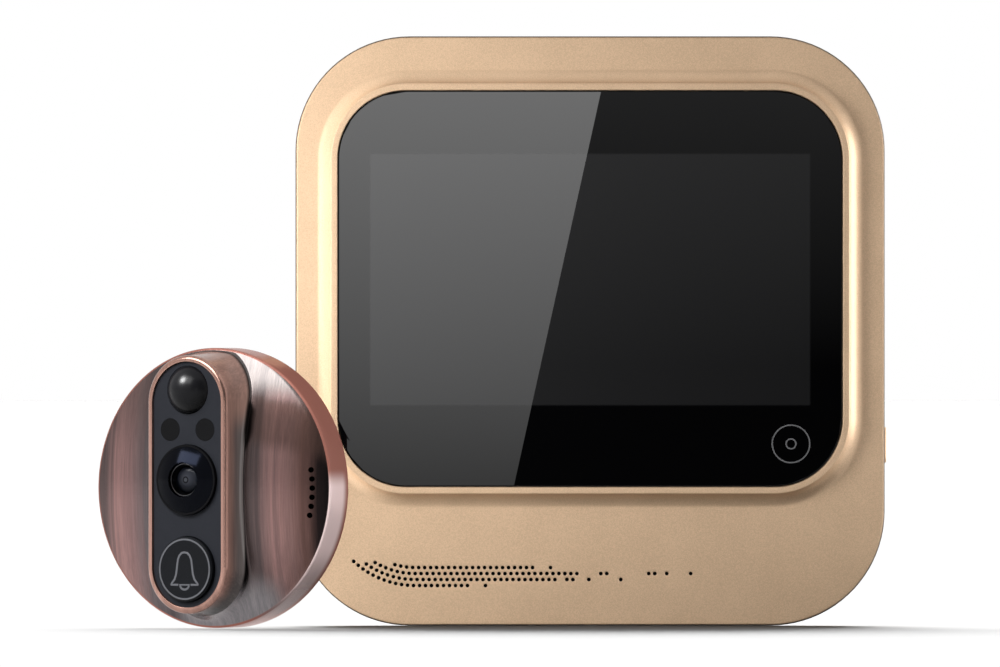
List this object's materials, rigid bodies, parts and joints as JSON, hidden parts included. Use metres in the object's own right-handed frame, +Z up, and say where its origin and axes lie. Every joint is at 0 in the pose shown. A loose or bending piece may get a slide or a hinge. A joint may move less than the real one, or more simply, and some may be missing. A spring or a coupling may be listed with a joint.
{
  "type": "peephole door camera",
  "caption": "Square door-viewer monitor with a raised glass screen, beside a round copper outdoor camera with a lens, motion sensor and bell push.",
  "frame": {"origin": "middle of the monitor's foot, on the surface that both units stand on", "axes": "+X to the right along the monitor's front, +Y towards the monitor's back, +Z up"},
  "size_m": [0.1981, 0.0871, 0.1485],
  "materials": {
    "champagne": "satin champagne gold",
    "cover_plastic": "fine black texture",
    "screen_glass": "black-backed gloss",
    "tape": "matt foam tape",
    "display": "dark display stack",
    "pad_film": "polyimide film",
    "sheet": "plain sheet",
    "steel": "zinc-plated",
    "board": "green solder mask",
    "chip": "moulded black",
    "cell": "blue wrapped cell",
    "black_plastic": "moulded black",
    "gasket": "soft black",
    "socket_plastic": "ivory nylon",
    "copper": "brushed red-copper plating",
    "fascia": "satin dark grey",
    "gloss_black": "polished",
    "lens_glass": "coated",
    "button": "satin black with a line-drawn bell",
    "brass": "turned"
  },
  "bodies": {
    "set": {"front_frame": "champagne", "rear_cover": "cover_plastic", "cover_glass": "screen_glass", "glass_tape": "tape", "display_panel": "display", "home_key_pad": "pad_film", "chassis_plate": "sheet", "chassis_screws": "steel", "main_board": "board", "board_screws": "steel", "processor_shield": "steel", "board_chips": "chip", "battery_pack": "cell", "speaker": "black_plastic", "speaker_gasket": "gasket", "microphone": "steel", "microphone_boot": "gasket", "antenna": "pad_film", "power_switch": "black_plastic", "charging_socket": "steel", "ribbon_socket": "socket_plastic", "case_screws": "steel", "camera_housing": "copper", "fascia_panel": "fascia", "motion_dome": "gloss_black", "motion_sensor": "steel", "infrared_windows": "gloss_black", "infrared_lamps": "lens_glass", "lens_barrel": "black_plastic", "front_lens": "lens_glass", "inner_lens": "lens_glass", "lens_holder": "black_plastic", "image_sensor": "chip", "bell_switch": "black_plastic", "camera_board": "board", "camera_ribbon_socket": "socket_plastic", "door_speaker": "black_plastic", "door_microphone": "steel", "back_plate": "cover_plastic", "back_seal": "gasket", "threaded_inserts": "brass", "plate_screws": "steel", "foam_pad": "gasket"},
    "bell": {"bell_button": "button"},
    "key": {"power_key": "champagne"},
    "bracket": {"door_bracket": "steel"}
  },
  "joints": [
    {"name": "bell_press", "type": "slide", "parent": "set", "child": "bell", "axis": [0.5446, 0.8387, 0], "range_m": [0, 0.0007], "stiffness_N_per_m": 400},
    {"name": "key_press", "type": "slide", "parent": "set", "child": "key", "axis": [-1, 0, 0], "range_m": [0, 0.0005], "stiffness_N_per_m": 600},
    {"name": "bracket_slide", "type": "slide", "parent": "set", "child": "bracket", "axis": [0, 0, -1], "range_m": [0, 0.0048]}
  ]
}
